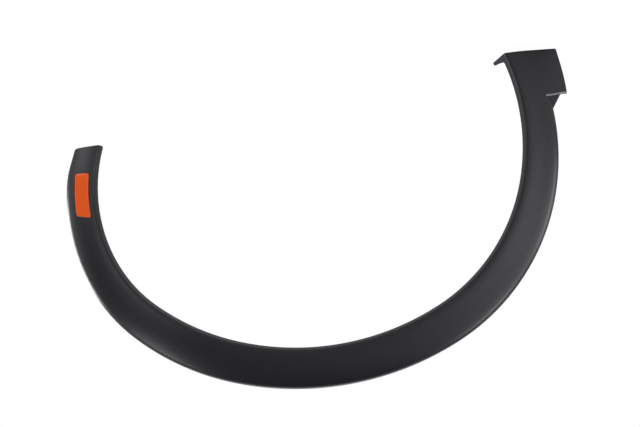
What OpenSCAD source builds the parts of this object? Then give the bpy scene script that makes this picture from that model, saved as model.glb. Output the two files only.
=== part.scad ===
// Wheel arch trim for the front right wheel of a car.
// +X points to the front of the car, +Z up and -Y out of the car, towards a person beside it.
// The origin is the middle of the crown locating pin, in the plane where the trim meets the wing.

/* [Arch line] */
// Heading of the inner edge where it leaves the foot, degrees above +X
start_heading = 116.8; // [110:0.1:124]
// Radius of the inner edge along the rear leg
rear_leg_r = 380.5; // [370:0.5:395]
// Turn of the inner edge along the rear leg
rear_leg_turn = 34.8; // [33:0.1:37]
// Radius of the inner edge at the rear shoulder
rear_shoulder_r = 344; // [330:0.5:360]
// Turn of the inner edge at the rear shoulder
rear_shoulder_turn = 49.2; // [46:0.1:52]
// Radius of the inner edge over the crown
crown_r = 491.5; // [475:0.5:510]
// Turn of the inner edge over the crown
crown_turn = 65.5; // [63:0.1:68]
// Radius of the inner edge down the front leg
front_r = 265; // [250:0.5:275]
// Turn of the inner edge down the front leg
front_turn = 75; // [71:0.1:78]
// Distance in front of the origin where the trim starts to follow the bumper corner
wrap_start = 115; // [90:5:150]
// Length over which the bumper corner reaches its full angle
wrap_run = 330; // [290:5:380]
// Angle of the bumper corner in plan at the end of that length
wrap_angle = 22; // [14:1:26]

/* [Face] */
// Width of the face where the rear leg meets the foot
rear_w = 58.5; // [52:0.5:62]
// Width of the face one fifth of the way round
rear_leg_w = 71.5; // [66:0.5:75]
// Width of the face two fifths of the way round
rear_shoulder_w = 75.5; // [70:0.5:80]
// Width of the face three fifths of the way round
front_shoulder_w = 75; // [71:0.5:81]
// Width of the face four fifths of the way round
front_leg_w = 74; // [68:0.5:79]
// Width of the face at the front end
front_w = 61; // [58:0.5:66]
// Wall thickness of the moulding
wall = 2.6; // [2.2:0.1:3]
// Radius where the face folds into the inner lip
fold_r = 5; // [4:0.5:7]
// Slope at each side of the crowned face, degrees
face_slope = 9; // [5:0.5:11]
// Radius of the outer edge, which rolls back to the wing
roll_r = 16; // [12:0.5:18]
// Angle through which the outer edge rolls
roll_turn = 68; // [60:1:75]
// Depth from the face to the plane of the wing
edge_depth = 12; // [11:0.5:14]
// Depth of the inner lip at the rear
lip_rear = 18.5; // [15:0.5:20]
// Depth of the inner lip at the front end
lip_front = 22; // [18:0.5:24]
// Radius of the lip's free corner at the front end
lip_corner_r = 6; // [3.5:0.5:9]
// Radius of the rounded edge at both ends
end_r = 2; // [1:0.1:2.1]
// Skew of the cut at the rear end, degrees
rear_skew = 20.4; // [16:0.2:23]
// Skew of the cut at the front end, degrees
front_skew = 23; // [17:0.5:26]

/* [Foot] */
// Length of the foot along the inner edge
foot_len = 84; // [78:1:90]
// Width of the foot at the rear end
foot_end_w = 100; // [96:0.5:104]
// Width of the foot at its step
foot_step_w = 90.5; // [86:0.5:94]
// Distance over which the step's wall slopes down to the wing
step_run = 4.2; // [3:0.1:7]
// Radius of the foot's outer edge
foot_edge_r = 4; // [3:0.5:6]
// Depth of the locating tongue at the end of the foot
tongue_depth = 68; // [50:1:80]
// Width of the tongue at its tip
tongue_tip_w = 7; // [6:0.5:10]
// Width of the tongue where it leaves the lip
tongue_root_w = 16; // [13:0.5:20]
// Length of the corner web above the foot
web_len = 30; // [24:1:36]
// Reach of the corner web past the edge of the leg
web_w = 19; // [15:0.5:24]

/* [Ribs] */
// Thickness of a cross rib
rib_t = 1.4; // [1:0.1:2]
// Distance from the wing to the top of a rib
rib_drop = 5; // [4:0.5:6]
// Number of ribs between two clips
ribs_per_pitch = 2; // [1:1:3]

/* [Clips] */
// Number of push-in clips
clip_count = 10; // [8:1:11]
// Distance of the first clip from the rear end
first_clip = 58; // [50:1:66]
// Gap between the last clip's middle and the marker
last_clip_gap = 36; // [30:1:45]
// Diameter of a clip's head
head_d = 14; // [12:0.5:15]
// Thickness of a clip's head
head_t = 1.5; // [1.2:0.1:1.8]
// Diameter of a clip's neck
neck_d = 6.4; // [5.5:0.1:7]
// Diameter of a clip's collar
collar_d = 18; // [16:0.5:20]
// Thickness of a clip's collar
collar_t = 1.2; // [1:0.1:1.6]
// Diameter of a clip's core
core_d = 4.4; // [4:0.1:5]
// Width over a clip's wings
wing_w = 9.6; // [8.5:0.1:10.5]
// Thickness of a clip's wing
wing_t = 1.5; // [1.2:0.1:1.8]
// Length of a clip's stem past its collar
stem_len = 19; // [16:0.5:22]
// Thickness of the seal ring on a clip
seal_t = 3.4; // [2.6:0.1:4]
// Thickness of a clip house's plate
plate_t = 1.8; // [1.5:0.1:2.2]
// Thickness of a clip house's walls
house_wall = 1.6; // [1.3:0.1:2]
// Length of a clip house along the trim
house_len = 24; // [22:0.5:27]
// Width of a clip house
house_w = 20; // [19:0.5:23]

/* [Fixings] */
// Diameter of a locating pin
pin_d = 6; // [5:0.1:7]
// Reach of a locating pin past the wing
pin_reach = 14; // [11:0.5:18]
// Diameter of a screw boss
boss_d = 9; // [8:0.5:11]
// Diameter of the pilot hole in a screw boss
pilot_d = 3.6; // [3:0.1:4.2]
// Depth of the pilot hole
pilot_depth = 8; // [6:0.5:8.5]
// Distance from the wing to the top of a screw boss
boss_drop = 1; // [0.5:0.5:2]
// Distance from each end of the trim to its screw boss
boss_end_gap = 26; // [22:1:30]

/* [Marker] */
// Length of the marker along the trim
marker_len = 80; // [70:1:90]
// Width of the marker
marker_w = 31; // [27:0.5:34]
// Distance from the front end to the nearest end of the marker
marker_end_gap = 54.5; // [50:0.5:62]
// Distance from the inner edge to the marker
marker_in = 11.5; // [10:0.5:14]
// Lean of the marker's rear end, degrees
marker_lean = 14; // [8:1:20]
// Corner radius of the marker
marker_corner = 4; // [3:0.5:6]
// Height of the lens above the face
lens_proud = 0.3; // [0.1:0.1:0.8]
// Radius of the lens's rim
rim_r = 0.9; // [0.6:0.1:1.2]
// Depth of the tub behind the lens
tub_depth = 4.5; // [3.5:0.1:5.5]
// Thickness of the tub's wall
tub_wall = 1.5; // [1.2:0.1:1.8]
// Width of the flange round the tub
flange_w = 3; // [2:0.5:3.5]
// Thickness of the flange
flange_t = 1.6; // [1.3:0.1:2]

/* [Clearances] */
// Gap round the lens in its window
window_gap = 0.7; // [0.3:0.05:0.9]
// Gap between parts that seat on each other
seat_gap = 0.2; // [0.1:0.05:0.3]
// Gap between a clip's neck and its slot
slot_gap = 0.3; // [0.2:0.05:0.4]

/* [Hidden] */
$fn = 48;

RADII = [rear_leg_r, rear_shoulder_r, crown_r, front_r];
TURNS = [rear_leg_turn, rear_shoulder_turn, crown_turn, front_turn];
WIDTHS = [rear_w, rear_leg_w, rear_shoulder_w, front_shoulder_w, front_leg_w, front_w];

// Each piece of the inner edge as its length, and the chain added up
function arc_len(i) = RADII[i] * TURNS[i] * PI / 180;
function run_to(i) = i == 0 ? 0 : run_to(i - 1) + arc_len(i - 1);
TOTAL = run_to(len(RADII));
function heading_at(i) = i == 0 ? start_heading : heading_at(i - 1) - TURNS[i - 1];
function turned(r, h0, h1) = r * [sin(h0) - sin(h1), cos(h1) - cos(h0)];
function corner_at(i) = i == 0 ? [0, 0]
    : corner_at(i - 1) + turned(RADII[i - 1], heading_at(i - 1), heading_at(i));
function arc_of(s, i = 0) = i == len(RADII) - 1 || s < run_to(i + 1) ? i : arc_of(s, i + 1);

// Heading and place of the inner edge at a distance s from the rear end
function heading(s) = let(i = arc_of(s)) heading_at(i) - (s - run_to(i)) / RADII[i] * 180 / PI;
function along(s) = let(i = arc_of(s)) corner_at(i) + turned(RADII[i], heading_at(i), heading(s));

// The cross-section's direction, which leans over near each end to follow the cut there
rear_blend = 145;
front_blend = 90;
function ease(t) = let(c = min(1, max(0, t))) c * c * (3 - 2 * c);
function lean(s) = front_skew * ease(1 - (TOTAL - s) / front_blend) - rear_skew * ease(1 - s / rear_blend);
function across(s) = heading(s) + 90 + lean(s);

// Clip places, evenly spaced between the foot and the marker
marker_s1 = TOTAL - marker_end_gap;
marker_s0 = marker_s1 - marker_len;
clip_pitch = (marker_s0 - last_clip_gap - first_clip) / (clip_count - 1);
function clip_s(i) = first_clip + i * clip_pitch;
crown_gap = ceil(clip_count / 2);
crown_s = clip_s(crown_gap) + clip_pitch / 2;
rear_pin_s = clip_s(1) + clip_pitch / 2;

// Width of the leg: one smooth curve through the stated widths
function weight(t, k, n) = let(f = [for (j = [0 : n]) if (j != k) (t * n - j) / (k - j)]) product(f);
function product(v, i = 0) = i == len(v) ? 1 : v[i] * product(v, i + 1);
function sum(v, i = 0) = i == len(v) ? 0 : v[i] + sum(v, i + 1);
function leg_w(s) =
    let(t = max(0, s - foot_len) / (TOTAL - foot_len), n = len(WIDTHS) - 1)
    sum([for (k = [0 : n]) WIDTHS[k] * weight(t, k, n)]);

// Cross-section: [distance from the inner edge, depth from the face's highest fold line]
fold_steps = 4;
face_steps = 5;
roll_steps = 5;
function tail(r, turn) = (edge_depth - face_drop(r, turn)) / tan(turn);
function face_drop(r, turn) = fold_top() + r * (cos(face_slope) - cos(turn));
function fold_top() = fold_r * (1 - cos(face_slope));
face_u0 = fold_r * (1 - sin(face_slope));
function face_u1(w) = w - tail(roll_r, roll_turn) - roll_r * (sin(roll_turn) - sin(face_slope));
function face_depth(u, w) =
    let(span = face_u1(w) - face_u0, v = (u - face_u0) / span)
    fold_top() - span * tan(face_slope) * v * (1 - v);

// Frame: the crown pin stands on the origin, and y = 0 is the plane of the wing there
function mid_u(s) = (face_u0 + face_u1(leg_w(s))) / 2;
function flat_point(s, u) = along(s) + u * [cos(across(s)), sin(across(s))];
ORIGIN = flat_point(crown_s, mid_u(crown_s));
wrap_k = tan(wrap_angle) / (2 * wrap_run);
function wrap(x) = wrap_k * pow(max(0, x - wrap_start), 2);
function wrap_slope(x) = atan(2 * wrap_k * max(0, x - wrap_start));
function place(s, u, d) = let(p = flat_point(s, u) - ORIGIN) [p[0], d - edge_depth + wrap(p[0]), p[1]];

// The outside of the wall as points across the trim, from the lip's edge to the outer edge
function skin_start(w, lip) = concat([[0, lip]],
    [for (k = [0 : fold_steps - 1]) let(a = k * (90 - face_slope) / fold_steps)
        fold_r * [1 - cos(a), 1 - sin(a)]],
    [for (k = [0 : face_steps]) let(u = face_u0 + (face_u1(w) - face_u0) * k / face_steps)
        [u, face_depth(u, w)]]);
function rolled(from, r, turn) = [for (k = [1 : roll_steps])
    let(a = face_slope + (turn - face_slope) * k / roll_steps)
    from + r * [sin(a) - sin(face_slope), cos(face_slope) - cos(a)]];
function leg_skin(w, lip, edge) = concat(skin_start(w, lip),
    rolled([face_u1(w), fold_top()], roll_r, roll_turn), [[edge, edge_depth]]);

// The foot's face runs straight on from the leg's and has a tighter edge
foot_turn = 86;
function foot_w(s) = foot_end_w + (foot_step_w - foot_end_w) * s / foot_len;
function foot_bend(w) = w - foot_edge_r * (sin(foot_turn) - sin(face_slope));
function foot_skin(w, lip) = let(
        start = skin_start(rear_w, lip),
        flat_end = start[len(start) - 1],
        bend = flat_end + (foot_bend(w) - flat_end[0]) * [1, tan(face_slope)])
    concat(start, rolled(bend, foot_edge_r, foot_turn), [[w, edge_depth]]);

// The inside of the wall, square to the outside and cut off flush at both edges
function normal(p, k) = let(t = p[k + 1] - p[k - 1]) [-t[1], t[0]] / norm(t);
function inside(p, by) = [for (k = [0 : len(p) - 1])
    k == 0 ? p[0] + [by, 0]
    : k == len(p) - 1 ? p[k] - [by, 0]
    : p[k] + by * normal(p, k)];
function closed(p, depth) = [for (q = p) [q[0], max(q[1], depth)]];

// Depth of the lip, which becomes the locating tongue at the rear end and has a round corner at the front
function lip(s) = let(
        plain = lip_rear + (lip_front - lip_rear) * s / TOTAL,
        t = min(1, max(0, (tongue_root_w - s) / (tongue_root_w - tongue_tip_w))),
        c = max(0, 1 - (TOTAL - s) / lip_corner_r))
    plain + (tongue_depth - plain) * t * t - lip_corner_r * (1 - sqrt(1 - c * c));

// The base of the foot's step has the leg's profile, with its edge spread to the full width of the foot
LEG = 0;
STEP = 1;
FOOT = 2;
function profile(s, part) =
    part == FOOT ? foot_skin(foot_w(s), lip(s))
    : part == STEP ? leg_skin(leg_w(s), lip(s), foot_step_w)
    : leg_skin(leg_w(s), lip(s), leg_w(s));

// One ring of the moulding: distance, outer profile, inner profile, inset of the outside and depth filled to
OPEN = -100;
function ring(s, out_part, in_part, inset, fill) = let(
        outer = profile(s, out_part),
        inner = closed(inside(profile(s, in_part), wall), fill),
        out = inset > 0 ? inside(outer, inset) : outer,
        all = concat(out, [for (k = [len(inner) - 1 : -1 : 0]) inner[k]]))
    [for (q = all) place(s, q[0], q[1])];

draft = 0.3;
station_gap = 16;
rib_fill = edge_depth - rib_drop;
function rounded_end(s, way) = [for (k = [0 : 2]) let(a = k * 45)
    [s + way * end_r * (1 - cos(a)), end_r * (1 - sin(a))]];
function between(a, b) = let(n = max(1, ceil((b - a) / station_gap)))
    [for (k = [0 : n]) a + (b - a) * k / n];
RIBS = [for (i = [0 : clip_count - 2], j = [1 : ribs_per_pitch])
    clip_s(i) + clip_pitch * (j - 0.5) / ribs_per_pitch];

// Every ring from the rear end to the front: its distance, foot outside, foot inside, inset and fill
function open_rings(a, b) = [for (s = between(a, b)) [s, LEG, LEG, 0, OPEN]];
function rib_rings(r) = [for (side = [-1, 1]) [r + side * rib_t / 2, LEG, LEG, 0, rib_fill]];
step_s = foot_len + step_run;
LEG_RIBS = [for (r = RIBS) if (r > step_s + 2 * rib_t) r];
corner_s = TOTAL - lip_corner_r;
LEG_MARKS = concat([step_s + draft], LEG_RIBS, [corner_s]);
tongue_steps = 5;
RINGS = concat(
    [for (e = rounded_end(0, 1)) [e[0], FOOT, FOOT, e[1], edge_depth]],
    [[wall, FOOT, FOOT, 0, edge_depth], [wall + draft, FOOT, FOOT, 0, OPEN]],
    [for (k = [0 : tongue_steps])
        [tongue_tip_w + (tongue_root_w - tongue_tip_w) * k / tongue_steps, FOOT, FOOT, 0, OPEN]],
    [for (k = [1 : 4]) [tongue_root_w + (foot_len - wall - tongue_root_w) * k / 4, FOOT, FOOT, 0, OPEN]],
    [[foot_len - wall + draft, FOOT, LEG, 0, OPEN], [foot_len, FOOT, LEG, 0, OPEN]],
    [[step_s, STEP, LEG, 0, OPEN]],
    [for (i = [0 : len(LEG_RIBS)]) each concat(
        open_rings(LEG_MARKS[i] + (i > 0 ? rib_t / 2 + draft : 0),
            LEG_MARKS[i + 1] - (i < len(LEG_RIBS) ? rib_t / 2 + draft : 0)),
        i < len(LEG_RIBS) ? rib_rings(LEG_RIBS[i]) : [])],
    [for (k = [1 : 2]) [corner_s + (lip_corner_r - wall - draft) * k / 2, LEG, LEG, 0, OPEN]],
    [[TOTAL - wall, LEG, LEG, 0, edge_depth]],
    [for (k = [2 : -1 : 0]) let(e = rounded_end(TOTAL, -1)[k]) [e[0], LEG, LEG, e[1], edge_depth]]);

// The bare shell: rings joined by triangles and closed by a strip of triangles at each end
module shell() {
    rings = [for (r = RINGS) ring(r[0], r[1], r[2], r[3], r[4])];
    n = len(rings[0]);
    m = len(rings);
    sides = [for (i = [0 : m - 2], k = [0 : n - 1])
        let(a = i * n + k, b = i * n + (k + 1) % n)
        each [[a, b, b + n], [a, b + n, a + n]]];
    caps = [for (k = [0 : n / 2 - 2])
        let(a = k, b = k + 1, c = n - 2 - k, d = n - 1 - k, far = (m - 1) * n)
        each [[a, d, c], [a, c, b], [far + a, far + c, far + d], [far + a, far + b, far + c]]];
    polyhedron([for (r = rings) each r], concat(sides, caps));
}

// Sets a piece on the inside of the face: its Y is square to the face and its Z runs across it
function inner_depth(s, u) = face_depth(u, leg_w(s)) + wall;
module on_face(s, u) {
    p = place(s, u, inner_depth(s, u));
    translate(p)
        rotate([0, 0, wrap_slope(p[0])])
            rotate([0, 90 - across(s), 0])
                children();
}
module upright(h0, h1, d) {
    translate([0, h0, 0]) rotate([-90, 0, 0]) cylinder(h = h1 - h0, d = d);
}
function to_wing(s, u) = edge_depth - inner_depth(s, u);

// How deep a piece is rooted in the wall, and how far a cutter reaches past what it cuts
root = -wall / 2;
reach = 2;

// A house for one clip: a plate on three walls, with a slot that the clip's neck slides into
plate_drop = 2 * seat_gap + collar_t + seal_t;
function plate_top(s) = to_wing(s, mid_u(s)) - plate_drop;
module clip_house(s) {
    top = plate_top(s);
    slot = neck_d + 2 * slot_gap;
    on_face(s, mid_u(s)) difference() {
        translate([-house_len / 2, root, -house_w / 2]) cube([house_len, top - root, house_w]);
        translate([house_wall - house_len / 2, root - reach, house_wall - house_w / 2])
            cube([house_len, top - plate_t - root + reach, house_w - 2 * house_wall]);
        translate([0, top - 2 * plate_t, -slot / 2]) cube([house_len, 3 * plate_t, slot]);
        upright(top - 2 * plate_t, top + plate_t, slot);
    }
}

// A locating pin with a tapered nose, on a shoulder braced by four fins
pin_nose = 2.5;
shoulder_w = 2;
fin_t = 1.4;
fin_reach = 9;
module locating_pin(s) {
    u = mid_u(s);
    wing = to_wing(s, u);
    tip = wing + pin_reach;
    on_face(s, u) {
        upright(root, wing - rib_drop, pin_d + 2 * shoulder_w);
        upright(root, tip - pin_nose, pin_d);
        translate([0, tip - pin_nose, 0]) rotate([-90, 0, 0])
            cylinder(h = pin_nose, d1 = pin_d, d2 = pin_d - pin_nose);
        for (a = [0 : 90 : 270]) rotate([0, a, 0])
            translate([0, root, -fin_t / 2]) cube([fin_reach, wing - rib_drop - shoulder_w - root, fin_t]);
    }
}

// A screw boss with a blind pilot hole and two fins
boss_fin = 8;
module screw_boss(s) {
    u = mid_u(s);
    top = to_wing(s, u) - boss_drop;
    on_face(s, u) difference() {
        union() {
            upright(root, top, boss_d);
            translate([-boss_fin, root, -fin_t / 2]) cube([2 * boss_fin, top - rib_drop - root, fin_t]);
        }
        upright(top - pilot_depth, top + reach, pilot_d);
    }
}

// The web that ties the foot's step to the leg, just inside the plane of the wing
web_set = 0.4;
module corner_web() {
    points = [for (q = [[foot_len - wall / 2, rear_w - wall], [foot_len - wall / 2, rear_w + web_w],
            [step_s, rear_w + web_w], [foot_len + web_len, leg_w(foot_len + web_len) - wall / 2]])
        flat_point(q[0], q[1]) - ORIGIN];
    translate([0, -web_set, 0]) rotate([90, 0, 0]) linear_extrude(wall) polygon(points);
}

// The marker's outline on the face, whose long sides follow the trim, and solids lofted between copies of it
corner_steps = 5;
side_steps = [8, 4];
least_corner = 0.4;
marker_mid = [(marker_s0 + marker_s1) / 2, marker_in + marker_w / 2];
CORNERS = [[1, 1], [-1, 1], [-1, -1], [1, -1]];
function corner_point(i, half, r, a) =
    marker_mid + [CORNERS[i % 4][0] * half[0] + r * cos(a), CORNERS[i % 4][1] * half[1] + r * sin(a)];
function marker_outline(grow) = let(
        r = max(least_corner, marker_corner + grow),
        half = [marker_len / 2 + grow - r, marker_w / 2 + grow - r])
    [for (i = [0 : 3]) let(
            from = corner_point(i, half, r, 90 * (i + 1)),
            to = corner_point(i + 1, half, r, 90 * (i + 1)),
            n = side_steps[i % 2])
        each concat(
            [for (k = [0 : corner_steps]) corner_point(i, half, r, 90 * (i + k / corner_steps))],
            [for (k = [1 : n - 1]) from + (to - from) * k / n])];
function leaned(q) = let(t = (marker_s1 - q[0]) / marker_len)
    [q[0] + tan(marker_lean) * t * (q[1] - marker_mid[1]), q[1]];
function on_marker(q, depth) = let(p = leaned(q)) place(p[0], p[1], face_depth(p[1], leg_w(p[0])) + depth);
module marker_loft(layers) {
    rings = [for (l = layers) [for (q = marker_outline(l[0])) on_marker(q, l[1])]];
    n = len(rings[0]);
    m = len(rings);
    ends = [on_marker(marker_mid, layers[0][1]), on_marker(marker_mid, layers[m - 1][1])];
    sides = [for (i = [0 : m - 2], k = [0 : n - 1])
        let(a = i * n + k, b = i * n + (k + 1) % n)
        each [[a, b + n, b], [a, a + n, b + n]]];
    caps = [for (k = [0 : n - 1]) let(k1 = (k + 1) % n, far = (m - 1) * n)
        each [[m * n, k, k1], [m * n + 1, far + k1, far + k]]];
    polyhedron(concat([for (r = rings) each r], ends), concat(sides, caps));
}
lens_back = wall;
lens_core = 1;
lens_ring = 6;
rim_field = 2;
lens_fields = [lens_core - marker_w / 2, lens_ring - marker_w / 2, -rim_r - rim_field];

// The flange seats on the inside of the face, whose facets stand in a little from its true curve
facet_sag = 0.1;
flange_set = seat_gap + facet_sag;
flange_front = lens_back + flange_set;
tub_set = 1;

// Ears at both ends of the marker's flange, each held by a staked post on the moulding
ear_d = 9;
ear_gap = 5.5;
post_d = 2.8;
post_len = flange_set + flange_t + seat_gap;
post_head_d = 5;
post_head_t = 1;
module at_ears() {
    for (s = [marker_s0 - ear_gap, marker_s1 + ear_gap]) on_face(s, marker_mid[1]) children();
}

module trim_moulding() color("#2c2d30") {
    difference() {
        shell();
        marker_loft([[window_gap, wall + reach], [window_gap, -reach]]);
    }
    for (i = [0 : clip_count - 1]) clip_house(clip_s(i));
    for (s = [rear_pin_s, crown_s]) locating_pin(s);
    for (s = [boss_end_gap, TOTAL - boss_end_gap]) screw_boss(s);
    corner_web();
    at_ears() {
        upright(root, post_len, post_d);
        upright(post_len, post_len + post_head_t, post_head_d);
    }
}

module marker_lens() color("#d2541f") marker_loft(concat(
    [for (g = lens_fields) [g, lens_back]],
    [[0, lens_back], [0, rim_r - lens_proud], [-0.3 * rim_r, 0.3 * rim_r - lens_proud], [-rim_r, -lens_proud]],
    [for (k = [2 : -1 : 0]) [lens_fields[k], -lens_proud]]));

module marker_housing() color("#e9e6df") difference() {
    union() {
        marker_loft([[-tub_set, flange_front + flange_t], [flange_w, flange_front + flange_t],
            [flange_w, flange_front], [-tub_set, flange_front]]);
        marker_loft([[-tub_set, flange_front + tub_depth], [-tub_set, flange_front + flange_t / 2]]);
        at_ears() upright(flange_set, flange_set + flange_t, ear_d);
    }
    marker_loft([[-tub_set - tub_wall, flange_front + tub_depth - tub_wall],
        [-tub_set - tub_wall, flange_front - reach]]);
    at_ears() upright(-reach, flange_t + reach, post_d + 2 * slot_gap);
}

// One clip about its own axis, which runs from the head up into the wing; zero is the top of the plate
collar_top = seat_gap + collar_t;
stem_base = collar_top + seat_gap + seal_t;
stem_top = collar_top + stem_len;
head_edge = 0.4;
collar_edge = 1;
nose = [1, 3];
module clip_turned() {
    head_low = -plate_t - seat_gap - head_t;
    rotate_extrude() polygon([[0, head_low], [head_d / 2 - head_edge, head_low],
        [head_d / 2, head_low + head_edge], [head_d / 2, head_low + head_t],
        [neck_d / 2, head_low + head_t], [neck_d / 2, seat_gap],
        [collar_d / 2 - collar_edge, seat_gap], [collar_d / 2, seat_gap + collar_t / 2],
        [collar_d / 2, collar_top], [core_d / 2, collar_top],
        [core_d / 2, stem_top - nose[1]], [core_d / 2 - nose[0], stem_top], [0, stem_top]]);
}

// A wing springs out from the core: it rises to a shoulder, then slopes back to the tip
wing_rise = 5;
wing_flat = 1.5;
wing_skin = 1;
wing_root = 1.8;
wing_foot = 4.5;
module clip_wing() {
    shoulder = stem_base + wing_rise;
    tip = stem_top - nose[1] / 2;
    rotate([90, 0, 0]) translate([0, 0, -wing_t / 2]) linear_extrude(wing_t) difference() {
        polygon([[0, stem_base], [core_d / 2, stem_base], [wing_w / 2, shoulder],
            [wing_w / 2, shoulder + wing_flat], [core_d / 2 - nose[0] / 2, tip], [0, tip]]);
        polygon([[core_d / 2, stem_base + wing_root], [wing_w / 2 - wing_skin, shoulder],
            [wing_w / 2 - wing_skin, shoulder + wing_flat], [core_d / 2, tip - wing_foot]]);
    }
}
module clip(i) color("#f0eee6") on_clip(i) {
    clip_turned();
    for (a = [0 : 90 : 270]) rotate([0, 0, a]) clip_wing();
}
module on_clip(i) {
    s = clip_s(i);
    on_face(s, mid_u(s)) translate([0, plate_top(s), 0]) rotate([-90, 0, 0]) children();
}

// The foam ring that seals the hole in the wing round one clip
seal_set = 0.6;
seal_bulge = 0.3;
module clip_seal(i) color("#3a3b3c") on_clip(i) {
    low = collar_top + seat_gap;
    inner = core_d / 2 + slot_gap;
    outer = collar_d / 2 - seal_set;
    rotate_extrude() polygon([[inner, low], [outer - seal_bulge, low],
        [outer, low + seal_t / 2], [outer - seal_bulge, low + seal_t], [inner, low + seal_t]]);
}

trim_moulding();
marker_lens();
marker_housing();
for (i = [0 : clip_count - 1]) {
    clip(i);
    clip_seal(i);
}
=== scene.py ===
# %% [markdown]
# A wheel arch trim is the dark plastic strip that follows the edge of a car's wing round the wheel.
# The imported model already holds its true shape, its clips and its side marker, in metres,
# so this lesson gives that model its surfaces, its light and its camera.
# The box of the imported model is kept, because the lamps and the floor are placed from it.

import math

import bpy
from mathutils import Matrix, Vector


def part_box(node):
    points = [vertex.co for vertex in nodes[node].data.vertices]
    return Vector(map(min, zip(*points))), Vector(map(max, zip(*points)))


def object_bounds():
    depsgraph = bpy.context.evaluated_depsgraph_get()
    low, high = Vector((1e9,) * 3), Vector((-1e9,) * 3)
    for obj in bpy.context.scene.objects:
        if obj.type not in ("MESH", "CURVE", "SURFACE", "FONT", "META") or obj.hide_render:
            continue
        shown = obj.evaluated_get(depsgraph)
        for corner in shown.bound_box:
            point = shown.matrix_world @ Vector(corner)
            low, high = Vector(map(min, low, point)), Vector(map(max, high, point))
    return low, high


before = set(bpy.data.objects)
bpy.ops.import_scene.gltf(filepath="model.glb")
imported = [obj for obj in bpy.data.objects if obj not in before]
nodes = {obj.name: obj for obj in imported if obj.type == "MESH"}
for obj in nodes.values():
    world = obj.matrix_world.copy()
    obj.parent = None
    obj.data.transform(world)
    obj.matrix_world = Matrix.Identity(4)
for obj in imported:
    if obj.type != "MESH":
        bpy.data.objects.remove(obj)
packed_box = [list(corner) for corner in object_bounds()]
print("pieces:", len(nodes), "box:", packed_box)

# %% [markdown]
# Colours are written as a painter's hex values, which are sRGB, while the renderer works in linear
# light. One function turns the first into the second.
# A second one adds any node, with its settings and what is plugged into it, so that each finish below
# reads as a short list of steps.

# %% Two small helpers
def linear(code):
    shares = [int(code[i:i + 2], 16) / 255 for i in (1, 3, 5)]
    return tuple(s / 12.92 if s <= 0.04045 else ((s + 0.055) / 1.055) ** 2.4 for s in shares) + (1.0,)


def add(tree, kind, inputs=None, **settings):
    node = tree.nodes.new(kind)
    for name, value in settings.items():
        setattr(node, name, value)
    for name, value in (inputs or {}).items():
        if isinstance(value, bpy.types.NodeSocket):
            tree.links.new(value, node.inputs[name])
        else:
            node.inputs[name].default_value = value
    return node


print("mid grey in linear light:", round(linear("#808080")[0], 4))

# %% [markdown]
# The model comes as flat facets, a few degrees apart round each bend, where the real mould is round.
# Subdividing would change the shape, so the facets stay and only their shading is smoothed:
# edges that turn by less than 50 degrees are shaded as one surface, and sharper ones stay crisp.
# Corners that lie within five thousandths of a millimetre are joined first, so that shading runs across.
# It is done by a modifier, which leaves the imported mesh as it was.

# %% Shade the bends smooth and keep the corners crisp
CRISP_FROM = math.radians(50)
JOIN_WITHIN = 0.000005
smooth_bends = bpy.data.node_groups.new("smooth_bends", "GeometryNodeTree")
smooth_bends.interface.new_socket("Geometry", in_out="INPUT", socket_type="NodeSocketGeometry")
smooth_bends.interface.new_socket("Geometry", in_out="OUTPUT", socket_type="NodeSocketGeometry")
given = add(smooth_bends, "NodeGroupInput")
joined = add(smooth_bends, "GeometryNodeMergeByDistance",
             {"Geometry": given.outputs[0], "Distance": JOIN_WITHIN})
plain = add(smooth_bends, "GeometryNodeRemoveAttribute",
            {"Geometry": joined.outputs[0], "Name": "custom_normal"})
turn = add(smooth_bends, "GeometryNodeInputMeshEdgeAngle")
sharp = add(smooth_bends, "FunctionNodeCompare", {0: turn.outputs[0], 1: CRISP_FROM},
            operation="GREATER_THAN")
faces = add(smooth_bends, "GeometryNodeSetShadeSmooth",
            {"Geometry": plain.outputs[0], "Shade Smooth": True}, domain="FACE")
soft = add(smooth_bends, "GeometryNodeSetShadeSmooth",
           {"Geometry": faces.outputs[0], "Shade Smooth": True}, domain="EDGE")
crisp = add(smooth_bends, "GeometryNodeSetShadeSmooth",
            {"Geometry": soft.outputs[0], "Selection": sharp.outputs[0], "Shade Smooth": False},
            domain="EDGE")
add(smooth_bends, "NodeGroupOutput", {0: crisp.outputs[0]})

for piece in nodes.values():
    piece.modifiers.new("smooth_bends", "NODES").node_group = smooth_bends
print("smoothed:", len(nodes), "pieces")

# %% [markdown]
# Every finish starts the same way: an empty material with one plastic shader on it.
# The patterns are laid out in the piece's own metres, so a scale is given as the width that one grain
# or cell has in millimetres. A finish is then put on its pieces by their names.

# %% Start a finish and put it on
def start_finish(name):
    material = bpy.data.materials.new(name)
    material.use_nodes = True
    tree = material.node_tree
    tree.nodes.clear()
    shader = add(tree, "ShaderNodeBsdfPrincipled")
    add(tree, "ShaderNodeOutputMaterial", {"Surface": shader.outputs["BSDF"]})
    place = add(tree, "ShaderNodeTexCoord")
    return material, tree, shader, place


def per_mm(size):
    return 1000 / size


def dress(material, *names):
    for name in names:
        for holder in nodes[name].material_slots:
            holder.material = material
    print(material.name, "on", len(names), "piece" if len(names) == 1 else "pieces")


# %% [markdown]
# The strip is injection moulded in black polypropylene. The face of the mould is etched with a fine
# grain, which breaks up the gloss and gives the eye a soft, even sheen instead of a mirror.
# Such a grain is usually about half a millimetre wide, too fine to show, so it is drawn 1.4 mm wide.
# A picture of real grain could be wrapped round the strip, but it would stretch at the bends. A pattern
# in space has no seams and stays the same size everywhere: rounded cells, with a finer noise on top.
# The hidden side comes off smooth steel, so the grain fades out where the surface faces the car.

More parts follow.
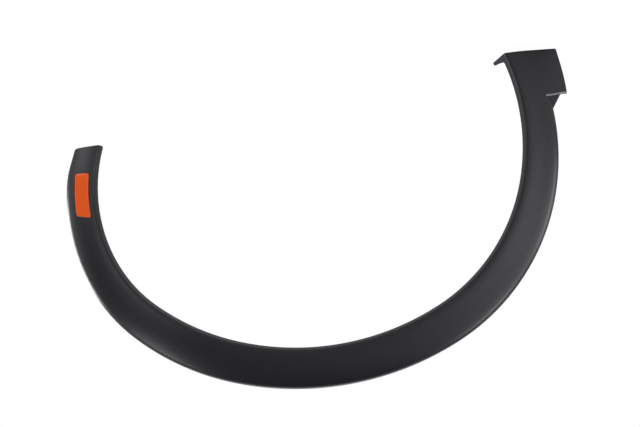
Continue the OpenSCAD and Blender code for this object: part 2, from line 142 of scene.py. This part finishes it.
# %% Grained black polypropylene
GRAIN_MM = 1.4
GRAIN_DEPTH = 0.00012
FACES_CAR = 0.35
FACES_OUT = 0.05
strip, strip_tree, strip_shader, strip_place = start_finish("grained_black_polypropylene")
point = strip_place.outputs["Object"]
way = add(strip_tree, "ShaderNodeSeparateXYZ", {0: strip_place.outputs["Normal"]})
outside = add(strip_tree, "ShaderNodeMapRange",
              {"Value": way.outputs["Y"], "From Min": FACES_CAR, "From Max": FACES_OUT})
grain = add(strip_tree, "ShaderNodeTexVoronoi",
            {"Vector": point, "Scale": per_mm(GRAIN_MM), "Smoothness": 0.6}, feature="SMOOTH_F1")
fine = add(strip_tree, "ShaderNodeTexNoise", {"Vector": point, "Scale": per_mm(GRAIN_MM / 2), "Detail": 3.0})
height = add(strip_tree, "ShaderNodeMath", {0: grain.outputs["Distance"], 1: fine.outputs["Fac"]},
             operation="ADD")
depth = add(strip_tree, "ShaderNodeMath", {0: height.outputs[0], 1: outside.outputs[0]},
            operation="MULTIPLY")
relief = add(strip_tree, "ShaderNodeBump",
             {"Height": depth.outputs[0], "Strength": 0.2, "Distance": GRAIN_DEPTH})
strip_tree.links.new(relief.outputs[0], strip_shader.inputs["Normal"])
strip_shader.inputs["IOR"].default_value = 1.49
dress(strip, "trim_moulding")

# %% [markdown]
# Black polypropylene is coloured right through with soot, which leaves it a very dark, slightly blue
# grey. The melt cools unevenly, so faint clouds as wide as a hand drift through its colour and its gloss.
# The valleys of the grain catch less light than its tops, so they are drawn a little darker.
# The grain scatters the shine, and the smooth hidden side is a little glossier.

# %% Colour and gloss of the strip
CLOUD_MM = 90
VALLEY = 0.92
TOP = 1.08
clouds = add(strip_tree, "ShaderNodeTexNoise",
             {"Vector": point, "Scale": per_mm(CLOUD_MM), "Detail": 4.0, "Roughness": 0.55})
soot = add(strip_tree, "ShaderNodeMix",
           {0: clouds.outputs["Fac"], 6: linear("#0e0d14"), 7: linear("#121118")}, data_type="RGBA")
# Painted shade and light: the grain's valleys are drawn darker and its tops lighter.
grain_shade = add(strip_tree, "ShaderNodeMapRange",
           {"Value": depth.outputs[0], "From Min": 0.4, "From Max": 1.2, "To Min": VALLEY, "To Max": TOP})
soot_and_grain_shade = add(strip_tree, "ShaderNodeMix", {0: 1.0, 6: soot.outputs[2], 7: grain_shade.outputs[0]},
             data_type="RGBA", blend_type="MULTIPLY")
strip_tree.links.new(soot_and_grain_shade.outputs[2], strip_shader.inputs["Base Color"])
gloss = add(strip_tree, "ShaderNodeMapRange", {"Value": outside.outputs[0], "To Min": 0.3, "To Max": 0.36})
patchy = add(strip_tree, "ShaderNodeMath", {0: clouds.outputs["Fac"], 1: 0.06, 2: gloss.outputs[0]},
             operation="MULTIPLY_ADD")
strip_tree.links.new(patchy.outputs[0], strip_shader.inputs["Roughness"])
print("grain:", GRAIN_MM, "mm wide, clouds:", CLOUD_MM, "mm wide")

# %% [markdown]
# Where the foot steps down, a thin light line runs across the wall of the step: a highlight that the lamps
# here don't reach. What makes it pale isn't known. So a narrow band is painted a paler grey, a painted
# highlight that draws the line. A slide in the mould often rubs a part there as it pulls away, so here a
# narrow band is scuffed to a paler grey, which draws the line.
# It could be painted on by hand, but then it would be tied to the mesh. Here three tests find it instead:
# how far a point lies along the leg, how near it is to the middle of the step, and that it doesn't face
# the car. The middle of the step is measured from the strip's lowest corner, so it follows the strip.

# %% Painted highlight across the foot's step
ALONG_LEG = Vector((-0.18, 0, 0.984))
STEP_FROM_CORNER = Vector((0.0224, 0.0072, 0.0838))
BAND_WIDTH = 0.0026
BAND_ABOVE_STEP = 0.0011
BAND_REACH = 0.0212
HIDDEN_FROM = 0.2
strip_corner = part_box("trim_moulding")[0]
step_middle = strip_corner + STEP_FROM_CORNER
band_middle = step_middle.dot(ALONG_LEG) + BAND_ABOVE_STEP
up_leg = add(strip_tree, "ShaderNodeVectorMath", {0: point, 1: ALONG_LEG}, operation="DOT_PRODUCT")
band = add(strip_tree, "ShaderNodeMath", {0: up_leg.outputs["Value"], 1: band_middle, 2: BAND_WIDTH / 2},
           operation="COMPARE")
from_step = add(strip_tree, "ShaderNodeVectorMath", {0: point, 1: step_middle}, operation="DISTANCE")
near = add(strip_tree, "ShaderNodeMath", {0: from_step.outputs["Value"], 1: BAND_REACH},
           operation="LESS_THAN")
faces_away_from_car = add(strip_tree, "ShaderNodeMath", {0: way.outputs["Y"], 1: HIDDEN_FROM}, operation="LESS_THAN")
in_band = add(strip_tree, "ShaderNodeMath", {0: band.outputs[0], 1: near.outputs[0]},
              operation="MULTIPLY")
on_step = add(strip_tree, "ShaderNodeMath", {0: in_band.outputs[0], 1: faces_away_from_car.outputs[0]},
              operation="MULTIPLY")
# Painted highlight: the band's colour is a paler grey in place of light that the lamps don't bring.
painted_highlight = add(strip_tree, "ShaderNodeMix",
              {0: on_step.outputs[0], 6: soot_and_grain_shade.outputs[2], 7: linear("#84848a")}, data_type="RGBA")
strip_tree.links.new(painted_highlight.outputs[2], strip_shader.inputs["Base Color"])
print("scuffed band:", BAND_WIDTH, "m wide at", [round(value, 4) for value in step_middle])

# %% [markdown]
# The side marker is a reflector: clear amber acrylic with rows of small prisms moulded into its back.
# The prisms stand in lines that follow the curve of the trim, which shows as faint flutes.
# Straight stripes would be easier, but they would run out at the sides of the lens. The distance from the
# middle of the arch bends them with the strip. Square cells between them stand for the prisms' corners.
# Such prisms are usually two or three millimetres wide, so the flutes are drawn 4.4 mm apart to show.

# %% Prisms that follow the curve
FLUTE_MM = 4.4
FLUTE_RADIUS = 0.302
MIDDLE_ABOVE_LENS = 0.012
lens, tree, shader, place = start_finish("amber_acrylic")
lens_low, lens_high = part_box("marker_lens")
lens_height = (lens_low.z + lens_high.z) / 2
arch_middle = Vector((lens_high.x - FLUTE_RADIUS, 0, lens_height + MIDDLE_ABOVE_LENS))
apart = add(tree, "ShaderNodeVectorMath", {0: place.outputs["Object"], 1: arch_middle},
            operation="SUBTRACT")
flat = add(tree, "ShaderNodeVectorMath", {0: apart.outputs[0], 1: (1, 0, 1)}, operation="MULTIPLY")
radius = add(tree, "ShaderNodeVectorMath", {0: flat.outputs[0]}, operation="LENGTH")
turns = add(tree, "ShaderNodeMath", {0: radius.outputs["Value"], 1: per_mm(FLUTE_MM) * 2 * math.pi},
            operation="MULTIPLY")
flutes = add(tree, "ShaderNodeMath", {0: turns.outputs[0]}, operation="SINE")
cells = add(tree, "ShaderNodeTexVoronoi",
            {"Vector": place.outputs["Object"], "Scale": per_mm(FLUTE_MM / 2), "Randomness": 0.2},
            feature="F1", distance="CHEBYCHEV")
prisms = add(tree, "ShaderNodeMath", {0: flutes.outputs[0], 1: 0.35, 2: cells.outputs["Distance"]},
             operation="MULTIPLY_ADD")
print("flutes:", FLUTE_MM, "mm apart, round", [round(value, 4) for value in arch_middle])

# %% [markdown]
# Light goes into the lens, bounces off the prisms and comes back orange, so the lens looks lit from
# inside and almost opaque. Tracing the prisms one by one would be slow and grainy, so the returned light
# is a bright surface colour, a little deeper between the prisms, and only a tenth of the light goes
# through. The face comes off a polished steel mould, which gives it a small, sharp shine.

# %% Amber acrylic
glow = add(tree, "ShaderNodeMapRange", {"Value": prisms.outputs[0], "From Min": -0.2, "From Max": 0.9})
amber = add(tree, "ShaderNodeMix", {0: glow.outputs[0], 6: linear("#f15614"), 7: linear("#fb6820")},
            data_type="RGBA")
tree.links.new(amber.outputs[2], shader.inputs["Base Color"])
shader.inputs["IOR"].default_value = 1.49
shader.inputs["Roughness"].default_value = 0.08
shader.inputs["Specular IOR Level"].default_value = 0.25
shader.inputs["Transmission Weight"].default_value = 0.1
dress(lens, "marker_lens")

# %% [markdown]
# The tub behind the lens is white ABS, so that it throws light back through the amber.
# Its mould is bead blasted, which leaves fine dimples and a dull, even surface. The beads are small, so
# one noise of their size gives both the dimples and a faint change of shade.

# %% White ABS
BEAD_MM = 0.6
BEAD_DEPTH = 0.00005
tub, tree, shader, place = start_finish("white_abs")
blast = add(tree, "ShaderNodeTexNoise",
            {"Vector": place.outputs["Object"], "Scale": per_mm(BEAD_MM), "Detail": 3.0})
shade = add(tree, "ShaderNodeMix", {0: blast.outputs["Fac"], 6: linear("#dcd9d2"), 7: linear("#ebe8e1")},
            data_type="RGBA")
tree.links.new(shade.outputs[2], shader.inputs["Base Color"])
dull = add(tree, "ShaderNodeBump",
           {"Height": blast.outputs["Fac"], "Strength": 0.2, "Distance": BEAD_DEPTH})
tree.links.new(dull.outputs[0], shader.inputs["Normal"])
shader.inputs["IOR"].default_value = 1.53
shader.inputs["Roughness"].default_value = 0.55
dress(tub, "marker_housing")

# %% [markdown]
# The clips are moulded in acetal left in its natural milky white. It is slippery and lets a little
# light in, which rounds off the shadows on the thin wings of a clip. A plain white would look like
# painted metal, so the shader scatters light about a millimetre deep.
# Faint streaks stand for the way the melt flowed into the mould.

# %% Natural acetal
STREAK_MM = 6
SCATTER_DEPTH = 0.001
acetal, tree, shader, place = start_finish("natural_acetal")
flow = add(tree, "ShaderNodeTexNoise",
           {"Vector": place.outputs["Object"], "Scale": per_mm(STREAK_MM), "Detail": 2.0})
milk = add(tree, "ShaderNodeMix", {0: flow.outputs["Fac"], 6: linear("#e4e1d6"), 7: linear("#f0eee6")},
           data_type="RGBA")
tree.links.new(milk.outputs[2], shader.inputs["Base Color"])
shader.inputs["IOR"].default_value = 1.48
shader.inputs["Roughness"].default_value = 0.34
shader.inputs["Subsurface Weight"].default_value = 0.25
shader.inputs["Subsurface Radius"].default_value = (1.0, 0.9, 0.75)
shader.inputs["Subsurface Scale"].default_value = SCATTER_DEPTH
clip_names = sorted(name for name in nodes if name.startswith("clip_") and "seal" not in name)
dress(acetal, *clip_names)

# %% [markdown]
# A ring of closed-cell foam sits under each clip and keeps water out of the hole in the wing.
# Foam is cut from a block, so its skin is open: small pits half a millimetre wide and no gloss at all.
# The pits are cells, dark in the middle where light doesn't reach, and a bump map presses them in,
# since modelling thousands of them would cost more than the whole strip.

# %% Foam rubber
PIT_MM = 0.5
PIT_DEPTH = 0.0002
foam, tree, shader, place = start_finish("foam_rubber")
cell = add(tree, "ShaderNodeTexVoronoi", {"Vector": place.outputs["Object"], "Scale": per_mm(PIT_MM)})
pit = add(tree, "ShaderNodeMix", {0: cell.outputs["Distance"], 6: linear("#1d1e1f"), 7: linear("#3d3e40")},
          data_type="RGBA")
tree.links.new(pit.outputs[2], shader.inputs["Base Color"])
pitted = add(tree, "ShaderNodeBump",
             {"Height": cell.outputs["Distance"], "Strength": 0.6, "Distance": PIT_DEPTH})
tree.links.new(pitted.outputs[0], shader.inputs["Normal"])
shader.inputs["IOR"].default_value = 1.5
shader.inputs["Roughness"].default_value = 0.9
dress(foam, *sorted(name for name in nodes if "seal" in name))

# %% [markdown]
# The trim was photographed upside down, straight at its outer face. The perspective fits a distance of
# about a metre. The camera stands there, level, and is rolled half a turn, so that the foot comes out at
# the top right.
# The lens angle follows from the size of the trim and how many of the picture's 640 columns it fills:
# something a metre wide and a metre away would fill 573.8 of them.

# %% Stand the camera where the photographer stood
WIDTH = 640
COLUMNS_PER_METRE = 573.8
SENSOR_MM = 36
PHOTOGRAPHER = Vector((-0.0336, -1.062, -0.2830))
view_of_face = bpy.data.cameras.new("camera")
view_of_face.sensor_width = SENSOR_MM
view_of_face.lens = SENSOR_MM * COLUMNS_PER_METRE / WIDTH
camera = bpy.data.objects.new("camera", view_of_face)
bpy.context.scene.collection.objects.link(camera)
right, up, back = Vector((-1, 0, 0)), Vector((0, 0, -1)), Vector((0, -1, 0))
turned = Matrix((right, up, back)).transposed().to_4x4()
camera.matrix_world = Matrix.Translation(PHOTOGRAPHER) @ turned
bpy.context.scene.camera = camera
print("lens:", round(view_of_face.lens, 2), "mm")

# %% [markdown]
# Black plastic shows little colour of its own, so what the eye reads as its shape is the reflection of
# the room. The real room isn't seen, so this one was fitted until the greys along the strip came near
# the photograph's: dark behind the photographer, with two pale walls before the rear leg, a faint one
# before the marker, and a bright one high behind the trim, which the crown's rolled edge mirrors.
# Real walls round the trim would throw shadows and slow the render, so the world holds the room by
# direction: a level that rises from the dark side to the paper, plus one wide soft patch for each wall.
# The camera itself sees plain white paper.

# %% The room that the plastic reflects
BEHIND_PHOTOGRAPHER = 0.13
BEHIND_TRIM = 0.5
PATCH_CORE = math.radians(5)
PATCH_EDGE = math.radians(35)
# Degrees sideways towards the marker and degrees upward, seen from the trim, and the strength
PALE_WALLS = [(-32, 0, 1.25), (-60, 0, 1.6), (30, 30, 0.15), (180, 52, 1.6)]


def direction(sideways, upward):
    across, rise = math.radians(sideways), math.radians(upward)
    return Vector((math.sin(across) * math.cos(rise), -math.cos(across) * math.cos(rise), math.sin(rise)))


world = bpy.data.worlds.new("studio")
bpy.context.scene.world = world
world.use_nodes = True
room = world.node_tree
room.nodes.clear()
compass = add(room, "ShaderNodeTexCoord")
look = add(room, "ShaderNodeSeparateXYZ", {0: compass.outputs["Generated"]})
level = add(room, "ShaderNodeMapRange",
            {"Value": look.outputs["Y"], "From Min": -0.3, "From Max": 0.3,
             "To Min": BEHIND_PHOTOGRAPHER, "To Max": BEHIND_TRIM})
for sideways, upward, strength in PALE_WALLS:
    toward = add(room, "ShaderNodeVectorMath",
                 {0: compass.outputs["Generated"], 1: direction(sideways, upward)}, operation="DOT_PRODUCT")
    wall = add(room, "ShaderNodeMapRange",
               {"Value": toward.outputs["Value"], "From Min": math.cos(PATCH_EDGE),
                "From Max": math.cos(PATCH_CORE), "To Max": strength}, interpolation_type="SMOOTHSTEP")
    level = add(room, "ShaderNodeMath", {0: level.outputs[0], 1: wall.outputs[0]}, operation="ADD")
print("patches of wall:", len(PALE_WALLS))

# %% [markdown]
# A world has one colour for each direction, so the room and the white paper are mixed by who looks:
# the camera's own rays see the paper, and every reflection sees the room.

# %% White paper for the camera alone
reflected = add(room, "ShaderNodeBackground", {"Color": linear("#fafaff"), "Strength": level.outputs[0]})
paper = add(room, "ShaderNodeBackground", {"Color": linear("#ffffff"), "Strength": 1.0})
seen = add(room, "ShaderNodeLightPath")
both = add(room, "ShaderNodeMixShader",
           {0: seen.outputs["Is Camera Ray"], 1: reflected.outputs[0], 2: paper.outputs[0]})
add(room, "ShaderNodeOutputWorld", {"Surface": both.outputs[0]})
print("paper strength:", paper.inputs["Strength"].default_value)

# %% [markdown]
# Soft panels stand near the trim, so their light falls off along it as in the photograph, which light
# from far away wouldn't do. Each is a square of glowing cloth that faces the middle of the trim.
# Three stand round the rear leg and draw the sheen on its rolled edge. Four stand round the marker, where
# the lens doesn't mirror them to the camera, and light the amber. Their places are a choice, and their
# powers were fitted to the greys of the photograph, like the room.

# %% Soft panels
PANEL_SIZE = 0.4
middle = (Vector(packed_box[0]) + Vector(packed_box[1])) / 2


def soft_panel(name, stand, power):
    lamp = bpy.data.lights.new(name, "AREA")
    lamp.size = PANEL_SIZE
    lamp.energy = power
    panel = bpy.data.objects.new(name, lamp)
    bpy.context.scene.collection.objects.link(panel)
    panel.location = stand
    panel.rotation_euler = (middle - Vector(stand)).to_track_quat("-Z", "Y").to_euler()
    print(name, power, "W")


soft_panel("rear_front_panel", (-0.6, -0.95, -0.3), 1.3)
soft_panel("rear_side_panel", (-1.0, -0.25, -0.2), 1.7)
soft_panel("rear_top_panel", (-0.9, -0.4, 0.35), 2.5)
soft_panel("marker_back_panel", (0.9, 0.35, -0.1), 3.8)
soft_panel("marker_front_panel", (0.8, -0.8, -0.3), 0.8)
soft_panel("marker_low_panel", (1.1, -0.3, -0.62), 1.7)
soft_panel("marker_top_panel", (0.8, -0.35, 0.45), 2.0)

# %% [markdown]
# The floor is pale paper, two millimetres under the foot, because the trim hangs by its crown pin as on
# a wing. A floor that is only lit would show grey, and one that only glows would lose the shadow.
# So the camera sees it six parts glowing and four parts in its true shading, and the trim's soft shadow
# stays. For every other ray it is plain matt paper.

# %% A pale floor
FLOOR_GAP = 0.002
FLOOR_SIZE = 200
GLOW_SHARE = 0.6
GLOW_STRENGTH = 1.41
floor_height = packed_box[0][2] - FLOOR_GAP
bpy.ops.mesh.primitive_plane_add(size=FLOOR_SIZE, location=(middle.x, middle.y, floor_height))
floor = bpy.context.object
floor.name = "floor"
white_floor = bpy.data.materials.new("white_floor")
white_floor.use_nodes = True
tree = white_floor.node_tree
tree.nodes.clear()
matt = add(tree, "ShaderNodeBsdfDiffuse", {"Color": linear("#d2d2d2")})
lit = add(tree, "ShaderNodeEmission", {"Color": linear("#ffffff"), "Strength": GLOW_STRENGTH})
ray = add(tree, "ShaderNodeLightPath")
share = add(tree, "ShaderNodeMath", {0: ray.outputs["Is Camera Ray"], 1: GLOW_SHARE}, operation="MULTIPLY")
paper_floor = add(tree, "ShaderNodeMixShader", {0: share.outputs[0], 1: matt.outputs[0], 2: lit.outputs[0]})
add(tree, "ShaderNodeOutputMaterial", {"Surface": paper_floor.outputs[0]})
floor.data.materials.append(white_floor)
print("floor at", round(floor_height, 4))

# %% [markdown]
# The colours are shown as they are written, with no film look on top.

# %% Show the colours as written and finish
bpy.context.scene.view_settings.view_transform = "Standard"
bpy.context.view_layer.update()
